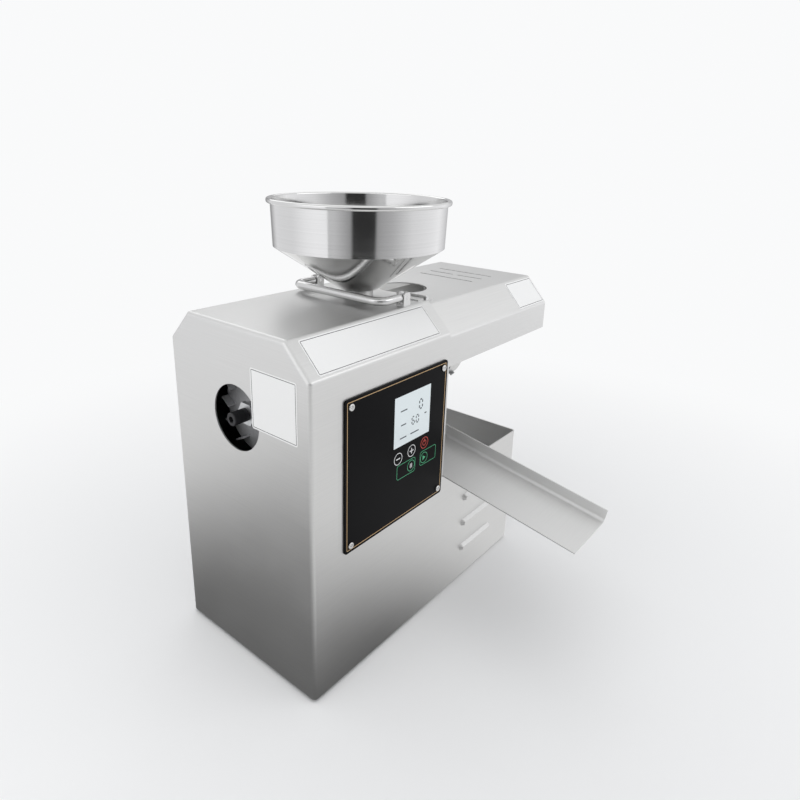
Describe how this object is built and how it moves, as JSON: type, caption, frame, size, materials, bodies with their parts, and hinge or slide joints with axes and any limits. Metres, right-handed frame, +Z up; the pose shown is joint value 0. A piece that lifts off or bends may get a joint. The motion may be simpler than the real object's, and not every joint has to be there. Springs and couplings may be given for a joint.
{
  "type": "screw oil press",
  "caption": "Counter-top screw oil press: a bent-steel tower with hopper, motor and gears drives a screw in a slotted barrel under a hinged hood, over a sloping chute.",
  "frame": {"origin": "middle of the whole machine's footprint, on the surface that its feet stand on", "axes": "+X along the press axis towards the cake outlet, +Y from the control panel to the back, +Z up"},
  "size_m": [0.3684, 0.313, 0.397],
  "materials": {
    "stainless": "satin, brushed along one way",
    "polished": "polished bright",
    "machined": "turned and milled",
    "gear_steel": "cut, lightly oiled",
    "casting": "as cast",
    "motor_grey": "semi-gloss",
    "black_oxide": "blackened, matt",
    "zinc_plate": "zinc plated",
    "panel_black": "gloss",
    "screen": "gloss",
    "board_green": "matt",
    "rubber_black": "matt",
    "brass": "turned",
    "switch_black": "semi-gloss"
  },
  "bodies": {
    "housing": {"main_housing": "stainless", "base_plate": "stainless", "right_bulkhead": "stainless", "low_box_deck": "stainless", "hood_hinge_leaves": "stainless", "hood_hinge_pins": "polished", "chute_rail": "stainless", "handle_lugs": "stainless", "handle_pins": "polished", "feed_tube": "machined", "rubber_feet": "rubber_black", "control_panel": "panel_black", "display_window": "screen", "panel_screws": "polished", "control_board": "board_green", "motor_body": "motor_grey", "motor_stator": "casting", "motor_end_bells": "casting", "drive_stand": "stainless", "gearbox_cover": "casting", "gearbox_case": "casting", "shaft_bearings": "gear_steel", "thrust_bearing": "gear_steel", "barrel": "machined", "flange_screws": "black_oxide", "barrel_support_ring": "machined", "heater_band": "stainless", "heater_terminals": "brass", "temperature_probe": "brass", "cake_nozzle": "machined", "power_inlet": "switch_black", "inlet_screws": "zinc_plate", "switch_frame": "switch_black"},
    "rotor": {"motor_shaft": "machined", "motor_rotor": "casting", "motor_pinion": "gear_steel", "cooling_fan": "zinc_plate", "fan_nut": "zinc_plate", "turning_socket": "black_oxide"},
    "countershaft": {"countershaft": "machined", "countershaft_wheel": "gear_steel", "countershaft_pinion": "gear_steel"},
    "screw": {"press_screw": "machined", "output_wheel": "gear_steel"},
    "hood": {"hood": "stainless", "hood_hinge_knuckles": "stainless"},
    "handle": {"carry_handle": "polished"},
    "hopper": {"hopper": "polished"},
    "chute": {"oil_chute": "stainless"},
    "switch": {"switch_rocker": "switch_black"}
  },
  "joints": [
    {"name": "rotor_spin", "type": "hinge", "parent": "housing", "child": "rotor", "pos_m": [-0.17925, 0.0665, 0.233], "axis": [1, 0, 0], "continuous": true},
    {"name": "countershaft_spin", "type": "hinge", "parent": "housing", "child": "countershaft", "pos_m": [-0.17925, 0.0665, 0.19925], "axis": [1, 0, 0], "continuous": true},
    {"name": "screw_spin", "type": "hinge", "parent": "housing", "child": "screw", "pos_m": [-0.17925, 0.0665, 0.233], "axis": [1, 0, 0], "continuous": true},
    {"name": "hood_hinge", "type": "hinge", "parent": "housing", "child": "hood", "pos_m": [-0.00385, 0.0665, 0.3099], "axis": [0, -1, 0], "range_deg": [0, 40]},
    {"name": "handle_hinge", "type": "hinge", "parent": "housing", "child": "handle", "pos_m": [-0.03625, 0.0665, 0.3165], "axis": [0, 1, 0], "range_deg": [0, 6]},
    {"name": "hopper_lift", "type": "slide", "parent": "housing", "child": "hopper", "axis": [0, 0, 1], "range_m": [0, 0.08]},
    {"name": "chute_slide", "type": "slide", "parent": "housing", "child": "chute", "axis": [0, -0.9863, -0.165], "range_m": [0, 0.11]},
    {"name": "switch_rock", "type": "hinge", "parent": "housing", "child": "switch", "pos_m": [-0.11725, 0.149, 0.049], "axis": [0, 0, -1], "range_deg": [0, 16]}
  ],
  "couplings": [
    {"joint": "countershaft_spin", "follows": "rotor_spin", "ratio": -0.28571},
    {"joint": "screw_spin", "follows": "rotor_spin", "ratio": 0.081633}
  ]
}
